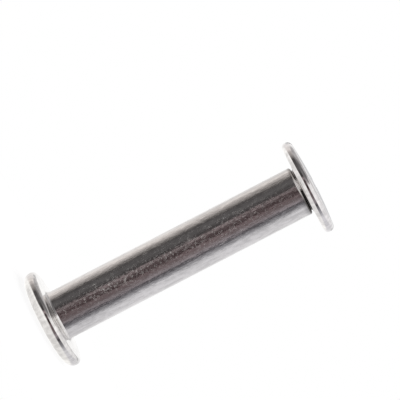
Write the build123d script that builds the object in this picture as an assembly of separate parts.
from build123d import *
import math
import os

# A binding barrel screw: two turned pieces that clamp a stack of sheets, leather or board.
# The barrel post is a headed tube with a blind threaded bore, and the binding screw is a
# short headed stud that turns into its mouth. All sizes are in millimetres. The pair stands
# on the crown of the barrel's head, with +Z along the common axis towards the screw's head.
# Both threads are drawn plain here, at the thread's outer diameter.

# Barrel post
BARREL_DIAMETER = 4.76
GRIP_LENGTH = 25.4
NECK_FILLET = 0.38
MOUTH_CHAMFER = 0.17
MOUTH_LIP_HEIGHT = 0.17
MOUTH_LIP_WALL = 0.18
BARREL_HEAD_DIAMETER = 9.6
BARREL_HEAD_THICKNESS = 1.6
BARREL_CROWN_HEIGHT = 0.33
BARREL_EDGE_RADIUS = 0.9
BARREL_UNDER_RADIUS = 0.42
BORE_DEPTH = 19.0
DRILL_POINT_ANGLE = 118.0
MOUTH_COUNTERSINK = 0.1

# Binding screw
THREAD_DIAMETER = 3.45
SHANK_LENGTH = 9.5
SHANK_TIP_CHAMFER = 0.4
SHANK_NECK_CHAMFER = 0.06
SCREW_HEAD_DIAMETER = 9.2
SCREW_HEAD_THICKNESS = 1.3
SCREW_CROWN_HEIGHT = 0.28
SCREW_EDGE_RADIUS = 0.6
SCREW_UNDER_RADIUS = 0.38

# Drive in the screw's head: a slot from rim to rim, with a cross recess in its middle
SLOT_WIDTH = 1.25
SLOT_DEPTH = 0.55
RECESS_SPAN = 3.4
RECESS_WING_WIDTH = 0.9
RECESS_DEPTH = 1.15
RECESS_END_ANGLE = 35.0
RECESS_SIDE_ANGLE = 8.0
RECESS_CORE_DIAMETER = 1.7
RECESS_CORE_DEPTH = 1.6
DRIVE_ANGLE = 4.0

# Gap on the radius between the two threads' plain diameters
THREAD_CLEARANCE = 0.04

# Places along the axis
NECK_Z = BARREL_HEAD_THICKNESS
MOUTH_Z = NECK_Z + GRIP_LENGTH
TOP_Z = MOUTH_Z + SCREW_HEAD_THICKNESS


def crowned_head(diameter, thickness, crown_height, edge_radius, under_radius):
    """A turned disc head: flat underside on Z = 0, shallow crown on +Z, rounded rim."""
    reach = diameter / 2
    rim_height = thickness - crown_height
    crown_radius = (reach**2 + crown_height**2) / (2 * crown_height)
    rim_slope = math.asin(reach / crown_radius)
    # the round-over may take all of the rim but the height of the lower edge's own radius
    rim_corner = math.pi / 2 - rim_slope
    widest_round = (rim_height - under_radius) / math.tan(rim_corner / 2)
    edge_radius = min(edge_radius, widest_round)
    outline = Polyline((0, thickness), (0, 0), (reach, 0), (reach, rim_height))
    crown = RadiusArc((reach, rim_height), (0, thickness), -crown_radius)
    section = make_face(outline.edges() + crown.edges())
    section = fillet(section.vertices().sort_by_distance((reach, rim_height))[0], edge_radius)
    section = fillet(section.vertices().sort_by_distance((reach, 0))[0], under_radius)
    return revolve(Plane.XZ * section, Axis.Z)


def bore_tool(bore_radius):
    """What the drill and countersink take out, with the mouth's plane on Z = 0."""
    point_height = bore_radius / math.tan(math.radians(DRILL_POINT_ANGLE / 2))
    section = Polyline(
        (0, 0),
        (bore_radius + MOUTH_COUNTERSINK, 0),
        (bore_radius, -MOUTH_COUNTERSINK),
        (bore_radius, -BORE_DEPTH),
        (0, -BORE_DEPTH - point_height),
        close=True,
    )
    return revolve(Plane.XZ * make_face(section), Axis.Z)


def barrel_post():
    """Headed tube: the head's crown at the bottom, the open mouth at the top.

    The tube ends in a chamfered shoulder, and the screw's head lands on a narrow lip inside it.
    """
    head = crowned_head(
        BARREL_HEAD_DIAMETER,
        BARREL_HEAD_THICKNESS,
        BARREL_CROWN_HEIGHT,
        BARREL_EDGE_RADIUS,
        BARREL_UNDER_RADIUS,
    )
    head = Pos(0, 0, NECK_Z) * Rot(180, 0, 0) * head
    radius = BARREL_DIAMETER / 2
    bore_radius = THREAD_DIAMETER / 2 + THREAD_CLEARANCE
    tube = Pos(0, 0, NECK_Z) * extrude(Circle(radius), GRIP_LENGTH - MOUTH_LIP_HEIGHT)
    tube = chamfer(tube.edges().sort_by(Axis.Z)[-1], MOUTH_CHAMFER)
    lip_radius = bore_radius + MOUTH_COUNTERSINK + MOUTH_LIP_WALL
    lip = Pos(0, 0, NECK_Z) * extrude(Circle(lip_radius), GRIP_LENGTH)
    post = head + tube + lip
    neck = post.edges().filter_by(GeomType.CIRCLE)
    neck = neck.filter_by(lambda edge: abs(edge.radius - radius) < radius / 100)
    post = fillet(neck.sort_by(Axis.Z)[0], NECK_FILLET)
    return post - Pos(0, 0, MOUTH_Z) * bore_tool(bore_radius)


def recess_wing():
    """One bar of the cross recess, its top on Z = 0, narrowing towards its floor."""
    end_taper = RECESS_DEPTH * math.tan(math.radians(RECESS_END_ANGLE))
    side_taper = RECESS_DEPTH * math.tan(math.radians(RECESS_SIDE_ANGLE))
    top = Rectangle(RECESS_SPAN, RECESS_WING_WIDTH)
    floor = Rectangle(RECESS_SPAN - 2 * end_taper, RECESS_WING_WIDTH - 2 * side_taper)
    return loft([Pos(0, 0, -RECESS_DEPTH) * floor, top], ruled=True)


def recess_core():
    """The cone where the two bars meet, which takes off the recess's inner corners."""
    section = Polyline((0, 0), (RECESS_CORE_DIAMETER / 2, 0), (0, -RECESS_CORE_DEPTH), close=True)
    return revolve(Plane.XZ * make_face(section), Axis.Z)


def drive_tool():
    """The slot with the cross recess in its middle, from the crown's top on Z = 0."""
    slot = Pos(0, 0, -SLOT_DEPTH / 2) * Box(SCREW_HEAD_DIAMETER, SLOT_WIDTH, SLOT_DEPTH)
    cross = recess_wing() + Rot(0, 0, 90) * recess_wing() + recess_core()
    return Rot(0, 0, DRIVE_ANGLE) * (slot + cross)


def binding_screw():
    """Headed stud, seated: the head's underside lies on the barrel's mouth."""
    head = crowned_head(
        SCREW_HEAD_DIAMETER,
        SCREW_HEAD_THICKNESS,
        SCREW_CROWN_HEIGHT,
        SCREW_EDGE_RADIUS,
        SCREW_UNDER_RADIUS,
    )
    radius = THREAD_DIAMETER / 2
    shank = Pos(0, 0, -SHANK_LENGTH) * extrude(Circle(radius), SHANK_LENGTH)
    shank = chamfer(shank.edges().sort_by(Axis.Z)[0], SHANK_TIP_CHAMFER)
    screw = head + shank
    neck = screw.edges().filter_by(GeomType.CIRCLE)
    neck = neck.filter_by(lambda edge: abs(edge.radius - radius) < radius / 100)
    screw = chamfer(neck.sort_by(Axis.Z)[-1], SHANK_NECK_CHAMFER)
    screw = Pos(0, 0, MOUTH_Z) * screw
    return screw - Pos(0, 0, TOP_Z) * drive_tool()


os.makedirs("parts", exist_ok=True)
export_step(barrel_post(), "parts/barrel_post.step")
export_step(binding_screw(), "parts/binding_screw.step")
